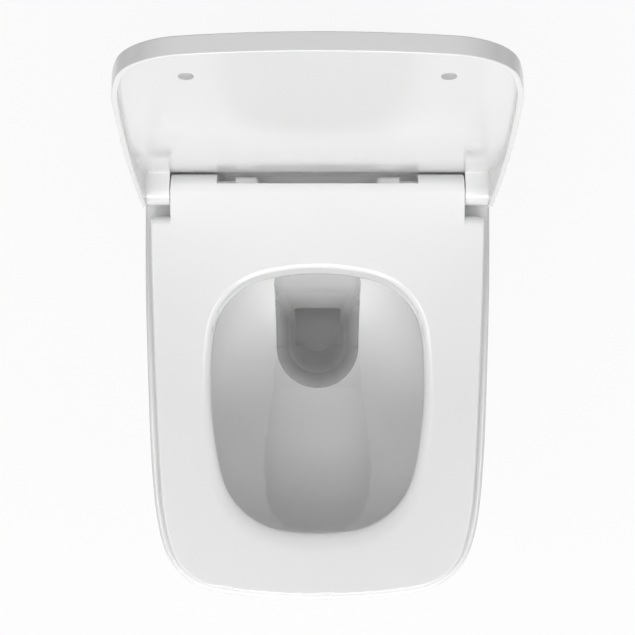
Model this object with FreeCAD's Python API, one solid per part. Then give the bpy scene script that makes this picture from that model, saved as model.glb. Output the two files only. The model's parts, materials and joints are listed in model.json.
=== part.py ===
"""Wall hung toilet with a soft close seat, as separate named solids in millimetres.

The origin lies midway between the two wall fixing holes, on the wall plane.
X runs across the pan, Y runs into the wall, so the front is at minus Y, and Z runs up.
The seat is down and the lid stands open.
"""
import FreeCAD
import Part
import math
import os

V = FreeCAD.Vector
X_AXIS = V(1, 0, 0)
Y_AXIS = V(0, 1, 0)
ORIGIN = V(0, 0, 0)

# Length by which cutting shapes run past what they cut, and by which a cut crosses a face that it runs out on
SPARE = 30.0
CROSSING = 0.05

# Pan outside
PAN_HALF_WIDTH = 180.0
PAN_LENGTH = 510.0
RIM_Z = 80.0
PAN_BOTTOM_Z = -265.0
SKIN = 11.0
DECK_THICKNESS = 14.0
RIM_ROUNDING = 4.0
FRONT_RADII = (3.722 * PAN_HALF_WIDTH, 0.3756 * PAN_HALF_WIDTH, 1.4833 * PAN_HALF_WIDTH)
FRONT_TURNS = (8.9, 64.4, 12.3)
STRAIGHT_SIDE_Z = RIM_Z - 30.0
BOTTOM_HALF_WIDTH = PAN_HALF_WIDTH - 62.0
BOTTOM_LENGTH = PAN_LENGTH - 210.0
BOTTOM_ROUNDING = 22.0
SIDE_TAPER = 2.2
FRONT_TAPER = 1.5
PAN_LEVELS = 12
HOLLOW_LEVELS = 8
ARC_SHARES = ((0.5, 0.0), (0.75, 0.5, 0.25, 0.0), (0.5, 0.0), (1.0, 0.67, 0.33, 0.0))
WIDE = PAN_HALF_WIDTH + SPARE

# Bowl: a dish that narrows from the rim to its foot, with a flat slope at its front
BOWL_WALL = 10.0
BOWL_RIM_ROUNDING = 8.0
BOWL_HALF_WIDTH = PAN_HALF_WIDTH - 43.0
BOWL_FRONT_Y = -PAN_LENGTH + 34.0
BOWL_REAR_Y = -149.0
BOWL_SQUARENESS = 2.5
BOWL_POINTS = 16
BOWL_STEPS = (0.0, 0.06, 0.15, 0.28, 0.45, 0.65, 0.85, 1.0)
UPRIGHT_SHARE = 0.85
SIDE_SWEEP = 0.95
FRONT_SWEEP = 0.68
FOOT_Z = RIM_Z - 202.0
FOOT_HALF_WIDTH = 36.0
FOOT_FRONT_Y = -275.0
FOOT_REAR_Y = -225.0
SLOPE_START_Y = -PAN_LENGTH + 62.0
SLOPE_START_Z = RIM_Z - 108.0
SLOPE_MIDDLE_Y = -PAN_LENGTH + 125.0
SLOPE_MIDDLE_Z = RIM_Z - 150.0
SLOPE_END_Z = RIM_Z - 187.0

# Pocket for the water: height, half width, front end, rear end and rear corner radius at each level
SUMP_FLOOR_Z = PAN_BOTTOM_Z + 15.0
SUMP_FRONT_Y = -285.0
SUMP_LEVELS = (
    (RIM_Z - 60.0, 49.0, SUMP_FRONT_Y - 7.0, BOWL_REAR_Y - 9.0, 12.0),
    (RIM_Z - 190.0, 47.5, SUMP_FRONT_Y, BOWL_REAR_Y - 23.0, 9.0),
    (SUMP_FLOOR_Z + 45.0, 36.0, SUMP_FRONT_Y + 23.0, BOWL_REAR_Y - 38.0, 8.0),
    (SUMP_FLOOR_Z + 12.0, 29.0, SUMP_FRONT_Y + 38.0, BOWL_REAR_Y - 45.0, 7.0),
    (SUMP_FLOOR_Z, 20.0, SUMP_FRONT_Y + 53.0, BOWL_REAR_Y - 47.0, 6.0),
)

# Trapway, outlet and flush inlet
TRAP_R = 30.0
TRAP_WALL = 9.0
TRAP_START_Y = BOWL_REAR_Y - 27.0
TRAP_LEAD = 4.0
TRAP_OUTER_LEAD = 24.0
TRAP_STEP = 3.0
MOUTH_HALF_WIDTH = 27.5
MOUTH_HEIGHT = 65.0
MOUTH_ROUNDING = 7.0
MOUTH_FRONT_Y = BOWL_REAR_Y - 76.0
MOUTH_REAR_Y = BOWL_REAR_Y - 28.0
OUTLET_Z = -100.0
OUTLET_BORE_R = 41.0
OUTLET_R = 51.0
OUTLET_LENGTH = 46.0
OUTLET_SETBACK = 3.0
SPIGOT_START_Y = -OUTLET_LENGTH - 20.0
INLET_Z = 35.0
INLET_R = 27.5
INLET_DEPTH = 60.0
INLET_WALL = 9.0
FLUSH_SLOT_HALF_WIDTH = 36.0
FLUSH_SLOT_HALF_HEIGHT = 9.0
FLUSH_SLOT_Z = 46.0
FLUSH_SLOT_LEAD = 12.0

# Wall fixing
WALL_BOLT_SPACING = 180.0
WALL_BUSH_BORE_R = 6.5
WALL_BUSH_R = 11.0
WALL_BUSH_FLANGE_R = 16.0
WALL_BUSH_FLANGE = 3.0
REAR_WEB = 18.0
REAR_WEB_BOTTOM_Z = -38.0

# Hinge line, with the lid 96 degrees open from closed
HINGE_Y = -92.0
HINGE_Z = RIM_Z + 19.0
FRONT_REACH = PAN_LENGTH + HINGE_Y
OPEN_ANGLE = 96.0
BARREL_R = 17.6
BARREL_END = PAN_HALF_WIDTH - 29.6
NOTCH_HALF_WIDTH = 103.0
NOTCH_EDGE = 5.0

# Seat ring, whose heights are given from the hinge line and reaches forward of it
SEAT_INSET = 8.0
SEAT_FORWARD = 3.0
SEAT_TOP = -8.5
SEAT_BOTTOM = -16.5
RAMP_REACH = 210.0
SEAT_REAR = 26.5
SEAT_REAR_ROUNDING = 8.0
SHOULDER_ROUNDING = 9.0
SEAT_EDGE_ROUNDING = 3.5
SEAT_WALL = 3.0
BAY_WALL = 2.6
BAY_FRONT = 72.0
POCKET_INNER = NOTCH_HALF_WIDTH + 5.0
POCKET_OUTER = PAN_HALF_WIDTH - 22.0
POCKET_REAR = SEAT_REAR + 6.0
BARREL_END_ROUNDING = 1.5

# Seat opening, and the dished edge round it
OPENING_FRONT = FRONT_REACH - 68.0
OPENING_REAR = 84.0
OPENING_FRONT_RADII = (227.4, 77.8)
OPENING_REAR_RADIUS = 67.5
OPENING_TURNS = (8.7, 67.9, 19.9, 70.4, 13.1)
DISH_WIDTH = 13.0
DISH_FRONT_WIDTH = 26.0
DISH_DEPTH = 11.0
DISH_FRONT_DEPTH = 6.0
DISH_WIDTH_CURVE = 3.0
DISH_DEPTH_CURVE = 0.7
DISH_POINTS_PER_ARC = 5
DISH_STEPS = 6
DISH_OVERSHOOT = 1.03

# Lid
LID_OUTSET = 0.5
LID_SKIRT = 5.0
LID_RIM = -16.0
LID_GAP = 1.8
LID_PANEL = 6.7
LID_REAR = 7.0
LID_EDGE_ROUNDING = 1.2
LID_CORNER_ROUNDING = 3.0
LID_RIM_ROUNDING = 1.0
SKIRT_END_ROUNDING = 6.0
KNUCKLE_START = BARREL_END + 1.1
KNUCKLE_R = 14.5
KNUCKLE_BLEND = 6.0

# Buffers
BUFFER_GAP = 0.2
BUFFER_SEATING = 2.5
BUFFER_CHAMFER = 0.8
LID_BUFFER_R = 6.2
LID_BUFFER_X = 105.0
LID_BUFFER_REACH = FRONT_REACH - 75.0
SEAT_BUFFER_R = 7.0
SEAT_BUFFERS = ((PAN_HALF_WIDTH - 38.0, FRONT_REACH - 88.0), (PAN_HALF_WIDTH - 30.0, 120.0))

# Dampers and pins
RUNNING = 0.05
FIXED = 0.02
END_PLAY = 0.5
DAMPER_END_WALL = 4.0
DAMPER_R = 10.5
DAMPER_INNER = NOTCH_HALF_WIDTH - 33.0
LID_DAMPER_OUTER = BARREL_END - 12.5
SEAT_DAMPER_OUTER = BARREL_END - 27.5
ROTOR_R = 7.5
SHAFT_R = 5.0
SHAFT_FLAT = 3.6
SHAFT_END = KNUCKLE_START + 16.5
SEAT_KEY_END = BARREL_END - 11.5
PIN_R = 4.0
PIN_START = BARREL_END - 7.5

# Hinge posts
POST_X = NOTCH_HALF_WIDTH - 23.0
STUD_REACH = 28.0
HUB_R = 14.4
HUB_INNER = NOTCH_HALF_WIDTH - 43.0
HUB_OUTER = NOTCH_HALF_WIDTH - 19.0
HUB_ROUNDING = 6.0
COLUMN_HALF_DEPTH = 12.0
BASE_INNER = NOTCH_HALF_WIDTH - 41.0
BASE_OUTER = NOTCH_HALF_WIDTH - 4.5
BASE_REAR = 16.5
BASE_TOP_Z = RIM_Z + 6.0
BASE_BOTTOM_Z = RIM_Z + 0.4
BASE_ROUNDING = 5.0
HOUSING_INNER = NOTCH_HALF_WIDTH - 37.0
HOUSING_OUTER = NOTCH_HALF_WIDTH - 5.0
HOUSING_HALF_DEPTH = 13.0
HOUSING_TOP_Z = RIM_Z + 20.0
HOUSING_ROUNDING = 4.0

# Fixing studs of the hinges
STUD_R = 5.0
STUD_TOP_Z = RIM_Z + 18.0
STUD_CHAMFER = 1.5
STUD_THREAD_R = 4.0
STUD_BOTTOM_Z = RIM_Z - 42.0
STUD_FLANGE_R = 11.0
STUD_FLANGE_Z = RIM_Z + 1.6
STUD_FLANGE = 2.0
STUD_PAD_R = 11.0
DECK_HOLE_R = 7.5
SLEEVE_R = 7.2
SLEEVE_BOTTOM_Z = RIM_Z - 30.0
NUT_R = 9.0
NUT_HEIGHT = 7.0

# Quick release slide
RELEASE_TRAVEL = 3.0
SLIDE_BOTTOM_Z = RIM_Z + 8.0
SLIDE_TOP_Z = RIM_Z + 13.0
SLIDE_HALF_DEPTH = 8.0
SLIDE_OUTER = NOTCH_HALF_WIDTH - 13.0
BUTTON_TIP = NOTCH_HALF_WIDTH - 43.0
BUTTON_ROUNDING = 4.0
SLIDE_CLEARANCE = 0.3
SPRING_END = NOTCH_HALF_WIDTH - 8.5
SPRING_STRIP = 0.5
SPRING_HALF_LENGTH = 6.0


def box(x0, x1, y0, y1, z0, z1):
    """Upright block between two corners."""
    return Part.makeBox(x1 - x0, y1 - y0, z1 - z0, V(x0, y0, z0))


def slab(y0, y1, z0, z1):
    """Block right across the pan between two lengths and two heights."""
    return box(-WIDE, WIDE, y0, y1, z0, z1)


def rod(radius, start, end):
    """Round bar between two points."""
    way = end - start
    return Part.makeCylinder(radius, way.Length, start, way)


def hinge_rod(radius, x0, x1):
    """Round bar on the hinge line from x0 to x1."""
    return rod(radius, V(x0, HINGE_Y, HINGE_Z), V(x1, HINGE_Y, HINGE_Z))


def stud_rod(radius, z0, z1):
    """Upright round bar on the axis of the right hinge stud."""
    stud_y = HINGE_Y - STUD_REACH
    return rod(radius, V(POST_X, stud_y, z0), V(POST_X, stud_y, z1))


def keyed_rod(radius, flat, x0, x1):
    """Bar on the hinge line with two flats."""
    sides = box(x0, x1, HINGE_Y - flat, HINGE_Y + flat, HINGE_Z - SPARE, HINGE_Z + SPARE)
    return hinge_rod(radius, x0, x1).common(sides)


def mirrored(shape):
    """The same shape on the other side of the middle plane."""
    return shape.mirror(ORIGIN, X_AXIS)


def both_sides(shape):
    """A shape and its mirror image as two separate solids."""
    return Part.makeCompound([shape, mirrored(shape)])


def fused(shapes):
    """All shapes joined into one solid with its needless seams removed."""
    return shapes[0].multiFuse(shapes[1:]).removeSplitter()


def rounded(shape, radius, chosen):
    """The shape with a fillet on every edge that the test picks."""
    edges = [edge for edge in shape.Edges if chosen(edge)]
    return shape.makeFillet(radius, edges)


def opened(shape):
    """A piece drawn with the lid closed, turned to where it stands with the lid open."""
    turned = shape.copy()
    turned.rotate(V(0, HINGE_Y, HINGE_Z), X_AXIS, -OPEN_ANGLE)
    return turned


# Outlines of tangent arcs

def arc_chain(start_y, radii, turns):
    """Tangent arcs that leave (0, start_y) along plus X and turn step by step to the left."""
    arcs = []
    x, y, heading = 0.0, start_y, 0.0
    for radius, turn in zip(radii, turns):
        centre_x = x - radius * math.sin(heading)
        centre_y = y + radius * math.cos(heading)
        leaving = heading + math.radians(turn)
        arcs.append((centre_x, centre_y, radius, heading, leaving))
        x = centre_x + radius * math.sin(leaving)
        y = centre_y - radius * math.cos(leaving)
        heading = leaving
    return arcs


def arc_point(arc, share, outset):
    """Point part of the way along an arc, on the parallel curve that lies outset further out."""
    centre_x, centre_y, radius, heading, leaving = arc
    angle = heading + (leaving - heading) * share
    reach = radius + outset
    return V(centre_x + reach * math.sin(angle), centre_y - reach * math.cos(angle), 0)


def pan_arcs():
    """Right half of the rim outline, whose last long arc is sized to reach the full width."""
    arcs = arc_chain(-PAN_LENGTH, FRONT_RADII, FRONT_TURNS)
    corner_end = arc_point(arcs[-1], 1.0, 0.0)
    heading = arcs[-1][4]
    side_radius = (PAN_HALF_WIDTH - corner_end.x) / (1.0 - math.sin(heading))
    side_turn = 90.0 - sum(FRONT_TURNS)
    return arc_chain(-PAN_LENGTH, FRONT_RADII + (side_radius,), FRONT_TURNS + (side_turn,))


def opening_chain(side_radius):
    """Right half of the seat opening for one radius of its long side, ending on the middle plane."""
    start_y = HINGE_Y - OPENING_FRONT
    radii = OPENING_FRONT_RADII + (side_radius, OPENING_REAR_RADIUS)
    arcs = arc_chain(start_y, radii, OPENING_TURNS)
    corner_end = arc_point(arcs[-1], 1.0, 0.0)
    rear_radius = corner_end.x / math.sin(arcs[-1][4])
    return arc_chain(start_y, radii + (rear_radius,), OPENING_TURNS)


def opening_arcs():
    """Right half of the seat opening, with its long side sized so that its rear end keeps its place."""
    def rear_reach(side_radius):
        return HINGE_Y - arc_point(opening_chain(side_radius)[-1], 1.0, 0.0).y

    none = rear_reach(0.0)
    gain = rear_reach(1.0) - none
    return opening_chain((OPENING_REAR - none) / gain)


def chord_shares(points):
    """Distances along a row of points, as shares of its whole length."""
    distances = [0.0]
    for first, second in zip(points, points[1:]):
        distances.append(distances[-1] + first.distanceToPoint(second))
    return [distance / distances[-1] for distance in distances]


def smooth_edge(points, shares, closed):
    """Smooth curve that passes its points at given shares, which all curves of a loft have in common."""
    curve = Part.BSplineCurve()
    curve.interpolate(Points=points, PeriodicFlag=closed, Parameters=shares)
    return curve.toShape()


def arc_edges(arcs, outset, side):
    """Edges of the arcs on one side of the middle plane, where side is plus or minus one."""
    edges = []
    for arc in arcs:
        ends = [arc_point(arc, share, outset) for share in (0.0, 0.5, 1.0)]
        points = [V(side * point.x, point.y, 0) for point in ends]
        edges.append(Part.Arc(*points).toShape())
    return edges


def rim_plate(outset, rear_y, z0, z1):
    """Flat plate with the rim outline moved out or in, reaching back to rear_y."""
    arcs = pan_arcs()
    edges = arc_edges(arcs, outset, 1) + arc_edges(arcs, outset, -1)
    side_end = arc_point(arcs[-1], 1.0, outset)
    rear_right = V(side_end.x, SPARE, 0)
    rear_left = V(-side_end.x, SPARE, 0)
    edges.append(Part.makeLine(side_end, rear_right))
    edges.append(Part.makeLine(rear_right, rear_left))
    edges.append(Part.makeLine(rear_left, V(-side_end.x, side_end.y, 0)))
    wire = Part.Wire(Part.__sortEdges__(edges))
    wire.translate(V(0, 0, z0))
    plate = Part.Face(wire).extrude(V(0, 0, z1 - z0))
    return plate.common(slab(-PAN_LENGTH - SPARE, rear_y, z0, z1))


# Side profile shared by seat and lid: hinge barrel, tangent ramp and flat front

def ramp_radius():
    """Radius of the hollow ramp that touches the barrel and the flat top of the seat."""
    rise = BARREL_R - SEAT_TOP
    return (RAMP_REACH ** 2 / rise - (BARREL_R + SEAT_TOP)) / 2.0


def hinge_point(reach, height):
    """Point on the middle plane, given forward of and above the hinge line."""
    return V(0, HINGE_Y - reach, HINGE_Z + height)


def profile_face(offset, rear, front, floor):
    """Area under the seat's top line moved up by offset, between two reaches and above floor."""
    ramp = ramp_radius()
    barrel = BARREL_R + offset
    hollow = ramp - offset
    tangent = math.atan2(RAMP_REACH, ramp + SEAT_TOP)
    first = math.asin(rear / barrel)

    def on_barrel(angle):
        return hinge_point(barrel * math.sin(angle), barrel * math.cos(angle))

    def on_ramp(angle):
        reach = RAMP_REACH - hollow * math.sin(angle)
        return hinge_point(reach, SEAT_TOP + ramp - hollow * math.cos(angle))

    flat = SEAT_TOP + offset
    rear_floor = hinge_point(rear, floor)
    front_floor = hinge_point(front, floor)
    front_top = hinge_point(front, flat)
    edges = [
        Part.makeLine(rear_floor, on_barrel(first)),
        Part.Arc(on_barrel(first), on_barrel((first + tangent) / 2), on_barrel(tangent)).toShape(),
        Part.Arc(on_ramp(tangent), on_ramp(tangent / 2), on_ramp(0.0)).toShape(),
        Part.makeLine(on_ramp(0.0), front_top),
        Part.makeLine(front_top, front_floor),
        Part.makeLine(front_floor, rear_floor),
    ]
    return Part.Face(Part.Wire(edges))


def profile_bar(offset, rear, front, floor, x0, x1):
    """The profile drawn out across the seat from x0 to x1."""
    face = profile_face(offset, rear, front, floor)
    face.translate(V(x0, 0, 0))
    return face.extrude(V(x1 - x0, 0, 0))


# Pan

def pan_size(z):
    """Half width and length of the pan at a height."""
    share = max(0.0, (STRAIGHT_SIDE_Z - z) / (STRAIGHT_SIDE_Z - PAN_BOTTOM_Z))
    half_width = PAN_HALF_WIDTH - (PAN_HALF_WIDTH - BOTTOM_HALF_WIDTH) * share ** SIDE_TAPER
    length = PAN_LENGTH - (PAN_LENGTH - BOTTOM_LENGTH) * share ** FRONT_TAPER
    sunk = min(max(0.0, PAN_BOTTOM_Z + BOTTOM_ROUNDING - z), BOTTOM_ROUNDING)
    corner = BOTTOM_ROUNDING - math.sqrt(BOTTOM_ROUNDING ** 2 - sunk ** 2)
    return half_width - corner, length - corner


def pan_section(z, inset):
    """Closed section of the pan at a height, reaching behind the wall plane."""
    half_width, length = pan_size(z)
    wide = (half_width - inset) / PAN_HALF_WIDTH
    long = (length - inset) / PAN_LENGTH
    right = [V(PAN_HALF_WIDTH, SPARE, 0), V(PAN_HALF_WIDTH, -SPARE, 0)]
    for arc, shares in reversed(list(zip(pan_arcs(), ARC_SHARES))):
        right += [arc_point(arc, share, 0.0) for share in shares]
    left = [V(-point.x, point.y, 0) for point in reversed(right[:-1])]
    outline = right + left
    points = [V(point.x * wide, point.y * long, z) for point in outline]
    edge = smooth_edge(points, chord_shares(outline), False)
    return Part.Wire([edge, Part.makeLine(points[-1], points[0])])


def pan_body(inset, top_z, bottom_z, levels):
    """Body lofted through sections of the pan between two heights."""
    step = (top_z - bottom_z) / levels
    heights = [top_z - step * level for level in range(levels + 1)]
    return Part.makeLoft([pan_section(z, inset) for z in heights], True)


def dish_section(step, wall):
    """Closed curve of the bowl's dish, a share of the way from foot to rim, made wider by the wall."""
    upright = min(step / UPRIGHT_SHARE, 1.0)
    sides = math.sin(math.pi / 2 * upright ** SIDE_SWEEP)
    ahead = math.sin(math.pi / 2 * upright ** FRONT_SWEEP)
    half_width = FOOT_HALF_WIDTH + (BOWL_HALF_WIDTH - FOOT_HALF_WIDTH) * sides + wall
    front_y = FOOT_FRONT_Y + (BOWL_FRONT_Y - FOOT_FRONT_Y) * ahead - wall
    rear_y = FOOT_REAR_Y + (BOWL_REAR_Y - FOOT_REAR_Y) * sides + wall
    z = FOOT_Z + (RIM_Z - FOOT_Z) * step
    points = []
    for index in range(BOWL_POINTS):
        angle = 2 * math.pi * index / BOWL_POINTS
        across = math.copysign(abs(math.cos(angle)) ** (2 / BOWL_SQUARENESS), math.cos(angle))
        along = math.copysign(abs(math.sin(angle)) ** (2 / BOWL_SQUARENESS), math.sin(angle))
        points.append(V(half_width * across, (rear_y + front_y + (rear_y - front_y) * along) / 2, z))
    shares = [index / BOWL_POINTS for index in range(BOWL_POINTS + 1)]
    return Part.Wire([smooth_edge(points, shares, True)])


def dish_body(wall):
    """The dish as a solid, with its foot lowered by the wall."""
    sections = [dish_section(step, wall) for step in BOWL_STEPS]
    sections[0].translate(V(0, 0, -wall))
    return Part.makeLoft(sections, True)


def sump_section(level, wall):
    """Closed outline of the pocket at one level, flat at its rear and half round at its front."""
    z, half_width, front_y, rear_y, corner = level
    half_width += wall
    corner += wall
    rear_y += wall
    round_y = front_y - wall + half_width
    corner_x = half_width - corner
    corner_y = rear_y - corner
    slant = corner * math.sqrt(0.5)
    return Part.Wire([
        Part.makeLine(V(-corner_x, rear_y, z), V(corner_x, rear_y, z)),
        Part.Arc(
            V(corner_x, rear_y, z), V(corner_x + slant, corner_y + slant, z), V(half_width, corner_y, z),
        ).toShape(),
        Part.makeLine(V(half_width, corner_y, z), V(half_width, round_y, z)),
        Part.Arc(
            V(half_width, round_y, z), V(0, round_y - half_width, z), V(-half_width, round_y, z),
        ).toShape(),
        Part.makeLine(V(-half_width, round_y, z), V(-half_width, corner_y, z)),
        Part.Arc(
            V(-half_width, corner_y, z), V(-corner_x - slant, corner_y + slant, z), V(-corner_x, rear_y, z),
        ).toShape(),
    ])


def sump_body(wall):
    """The pocket as a solid, with its floor lowered by the wall."""
    sections = [sump_section(level, wall) for level in SUMP_LEVELS]
    sections[-1].translate(V(0, 0, -wall))
    return Part.makeLoft(sections, True, True)


def front_slope():
    """Solid under the hollow slope that leads from the front of the dish down to the pocket."""
    round_y = SUMP_FRONT_Y + SUMP_LEVELS[1][1]
    far = V(-WIDE, -PAN_LENGTH, SLOPE_START_Z)
    start = V(-WIDE, SLOPE_START_Y, SLOPE_START_Z)
    middle = V(-WIDE, SLOPE_MIDDLE_Y, SLOPE_MIDDLE_Z)
    end = V(-WIDE, SUMP_FRONT_Y, SLOPE_END_Z)
    inside = V(-WIDE, round_y, SUMP_LEVELS[1][0])
    inside_low = V(-WIDE, round_y, PAN_BOTTOM_Z)
    far_low = V(-WIDE, -PAN_LENGTH, PAN_BOTTOM_Z)
    edges = [Part.makeLine(far, start), Part.Arc(start, middle, end).toShape()]
    corners = (end, inside, inside_low, far_low, far)
    edges += [Part.makeLine(first, second) for first, second in zip(corners, corners[1:])]
    return Part.Face(Part.Wire(edges)).extrude(V(2 * WIDE, 0, 0))


def trap_mouth(wall):
    """Way into the trap: a low block with round upper corners, made larger by the wall."""
    half_width = MOUTH_HALF_WIDTH + wall
    top_z = SUMP_FLOOR_Z + MOUTH_HEIGHT + wall
    block = box(-half_width, half_width, MOUTH_FRONT_Y, MOUTH_REAR_Y + wall, SUMP_FLOOR_Z - wall, top_z)

    def is_upper_corner(edge):
        limits = edge.BoundBox
        return limits.ZMin > top_z - 0.1 and limits.XLength < 0.1

    return rounded(block, MOUTH_ROUNDING + wall, is_upper_corner)


def trap_pipe(radius, lead):
    """Trapway from behind the mouth, back and up over the weir, to the outlet."""
    sump_z = SUMP_FLOOR_Z + TRAP_STEP + TRAP_R
    bend = (OUTLET_Z - sump_z) / 2
    start = V(0, TRAP_START_Y - lead, sump_z)
    low = V(0, TRAP_START_Y, sump_z)
    turn = math.sqrt(0.5) * bend
    low_mid = V(0, low.y + turn, sump_z + bend - turn)
    middle = V(0, low.y + bend, sump_z + bend)
    high_mid = V(0, low.y + 2 * bend - turn, OUTLET_Z - bend + turn)
    high = V(0, low.y + 2 * bend, OUTLET_Z)
    end = V(0, -OUTLET_LENGTH, OUTLET_Z)
    path = Part.Wire([
        Part.makeLine(start, low),
        Part.Arc(low, low_mid, middle).toShape(),
        Part.Arc(middle, high_mid, high).toShape(),
        Part.makeLine(high, end),
    ])
    ring = Part.Wire([Part.makeCircle(radius, start, Y_AXIS)])
    return path.makePipeShell([ring], True, False)


def flush_passage(wall):
    """Flush way from the inlet, flattening towards a wide slot behind the bowl."""
    start = V(0, 0, INLET_Z)
    bore_end = V(0, -INLET_DEPTH, INLET_Z)
    slot_y = BOWL_REAR_Y - FLUSH_SLOT_LEAD + wall
    ring = Part.Wire([Part.makeCircle(INLET_R + wall, bore_end, Y_AXIS)])
    slot = Part.Ellipse(
        V(FLUSH_SLOT_HALF_WIDTH + wall, slot_y, FLUSH_SLOT_Z),
        V(0, slot_y, FLUSH_SLOT_Z - FLUSH_SLOT_HALF_HEIGHT - wall),
        V(0, slot_y, FLUSH_SLOT_Z),
    )
    taper = Part.makeLoft([ring, Part.Wire([slot.toShape()])], True)
    return rod(INLET_R + wall, start, bore_end).fuse(taper)


def make_pan():
    """China body with its bowl, trapway, flush way, rear web, spigot and fixing holes."""
    outside = pan_body(0.0, RIM_Z, PAN_BOTTOM_Z, PAN_LEVELS)
    room = slab(-PAN_LENGTH - SPARE, 0, PAN_BOTTOM_Z - SPARE, RIM_Z + SPARE)
    outside = outside.common(room)
    hollow = pan_body(SKIN, RIM_Z - DECK_THICKNESS, PAN_BOTTOM_Z + SKIN, HOLLOW_LEVELS)
    hollow = hollow.cut(slab(-REAR_WEB, 2 * SPARE, REAR_WEB_BOTTOM_Z, RIM_Z))
    skin = outside.cut(hollow)
    spigot = rod(OUTLET_R, V(0, SPIGOT_START_Y, OUTLET_Z), V(0, -OUTLET_SETBACK, OUTLET_Z))
    body = skin.multiFuse([
        dish_body(BOWL_WALL),
        sump_body(BOWL_WALL).common(slab(-PAN_LENGTH, 0, PAN_BOTTOM_Z, RIM_Z)),
        trap_mouth(BOWL_WALL),
        trap_pipe(TRAP_R + TRAP_WALL, TRAP_OUTER_LEAD),
        flush_passage(INLET_WALL).common(room),
        spigot,
    ]).common(outside)
    bolt_x = WALL_BOLT_SPACING / 2
    bolt_hole = rod(WALL_BUSH_R, V(bolt_x, -2 * REAR_WEB, 0), V(bolt_x, SPARE, 0))
    outlet_bore = rod(OUTLET_BORE_R, V(0, -OUTLET_LENGTH, OUTLET_Z), V(0, SPARE, OUTLET_Z))
    body = body.cut([
        dish_body(0.0).cut(front_slope()),
        sump_body(0.0),
        trap_mouth(0.0),
        trap_pipe(TRAP_R, TRAP_LEAD),
        flush_passage(0.0),
        outlet_bore,
        both_sides(bolt_hole),
    ])
    body = rounded(body, RIM_ROUNDING, is_rim_outline)
    body = rounded(body, BOWL_RIM_ROUNDING, is_bowl_edge)
    return body.cut(both_sides(stud_rod(DECK_HOLE_R, RIM_Z - SPARE, RIM_Z + SPARE)))


def is_rim_outline(edge):
    """True for the outer edge of the rim, but not for the edge along the wall."""
    limits = edge.BoundBox
    return limits.ZMin > RIM_Z - 0.1 and limits.YMin < BOWL_FRONT_Y - 1


def is_bowl_edge(edge):
    """True for the inner edge of the rim."""
    limits = edge.BoundBox
    return limits.ZMin > RIM_Z - 0.1 and abs(limits.YMin - BOWL_FRONT_Y) < 1


def make_wall_bush():
    """Flanged bush of the right wall fixing, pushed in from inside the pan."""
    bolt_x = WALL_BOLT_SPACING / 2
    sleeve = rod(WALL_BUSH_R - FIXED, V(bolt_x, -REAR_WEB, 0), V(bolt_x, -0.5, 0))
    flange = rod(WALL_BUSH_FLANGE_R, V(bolt_x, -REAR_WEB - WALL_BUSH_FLANGE, 0), V(bolt_x, -REAR_WEB, 0))
    bore = rod(WALL_BUSH_BORE_R, V(bolt_x, -2 * REAR_WEB, 0), V(bolt_x, SPARE, 0))
    return fused([sleeve, flange]).cut(bore)


# Seat

def seat_top(reach):
    """Height of the seat's top above the hinge line, forward of the barrel."""
    ramp = ramp_radius()
    if reach > RAMP_REACH:
        return SEAT_TOP
    return SEAT_TOP + ramp - math.sqrt(ramp ** 2 - (RAMP_REACH - reach) ** 2)


def is_on_top(edge):
    """True for a boundary edge of the seat's top, not for a seam that runs across it."""
    middle = edge.valueAt((edge.FirstParameter + edge.LastParameter) / 2)
    reach = HINGE_Y - middle.y
    if reach < SEAT_REAR - 1:
        return False
    limits = edge.BoundBox
    if limits.YLength < 0.1 and reach > SEAT_REAR + 1:
        return False
    return abs(middle.z - HINGE_Z - seat_top(reach)) < 0.1


def opening_points():
    """Points round the seat opening, each with the direction that leads away from the opening."""
    right = []
    for arc in opening_arcs():
        for step in range(DISH_POINTS_PER_ARC):
            share = step / DISH_POINTS_PER_ARC
            point = arc_point(arc, share, 0.0)
            right.append((point, arc_point(arc, share, 1.0) - point))
    rear = arc_point(opening_arcs()[-1], 1.0, 0.0)
    left = [(V(-point.x, point.y, 0), V(-way.x, way.y, 0)) for point, way in reversed(right[1:])]
    return right + [(rear, Y_AXIS)] + left


def dish_ring(angle):
    """Points of the rounded edge of the opening, from upright at angle zero to level at ninety degrees."""
    ring = []
    opening_rear = HINGE_Y - opening_points()[len(opening_points()) // 2][0].y
    for point, way in opening_points():
        forward = (HINGE_Y - point.y - opening_rear) / (OPENING_FRONT - opening_rear)
        forward = min(max(forward, 0.0), 1.0)
        width = DISH_WIDTH + (DISH_FRONT_WIDTH - DISH_WIDTH) * forward ** DISH_WIDTH_CURVE
        depth = DISH_DEPTH + (DISH_FRONT_DEPTH - DISH_DEPTH) * forward ** DISH_DEPTH_CURVE
        place = point + way * (width * (1 - math.cos(angle)))
        top_z = HINGE_Z + seat_top(HINGE_Y - place.y)
        ring.append(V(place.x, place.y, top_z - depth * (1 - DISH_OVERSHOOT * math.sin(angle))))
    return ring


def opening_cutter(z0, z1):
    """Solid that cuts the seat opening and leaves its dished edge."""
    angles = [math.pi / 2 * step / DISH_STEPS for step in range(DISH_STEPS + 1)]
    rings = [dish_ring(angle) for angle in angles]
    rings.insert(0, [V(point.x, point.y, z0) for point in rings[0]])
    rings.append([V(point.x, point.y, z1) for point in rings[-1]])
    shares = chord_shares(rings[0] + rings[0][:1])
    edges = [smooth_edge(ring, shares, True) for ring in rings]
    dish = Part.makeLoft([Part.Wire([edge]) for edge in edges[1:-1]], False)
    lower = Part.makeRuledSurface(edges[0], edges[1])
    upper = Part.makeRuledSurface(edges[-2], edges[-1])
    caps = [Part.Face(Part.Wire([edge])) for edge in (edges[0], edges[-1])]
    shell = Part.makeShell(lower.Faces + dish.Faces + upper.Faces + caps)
    shell.sewShape()
    return Part.makeSolid(shell)


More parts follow.
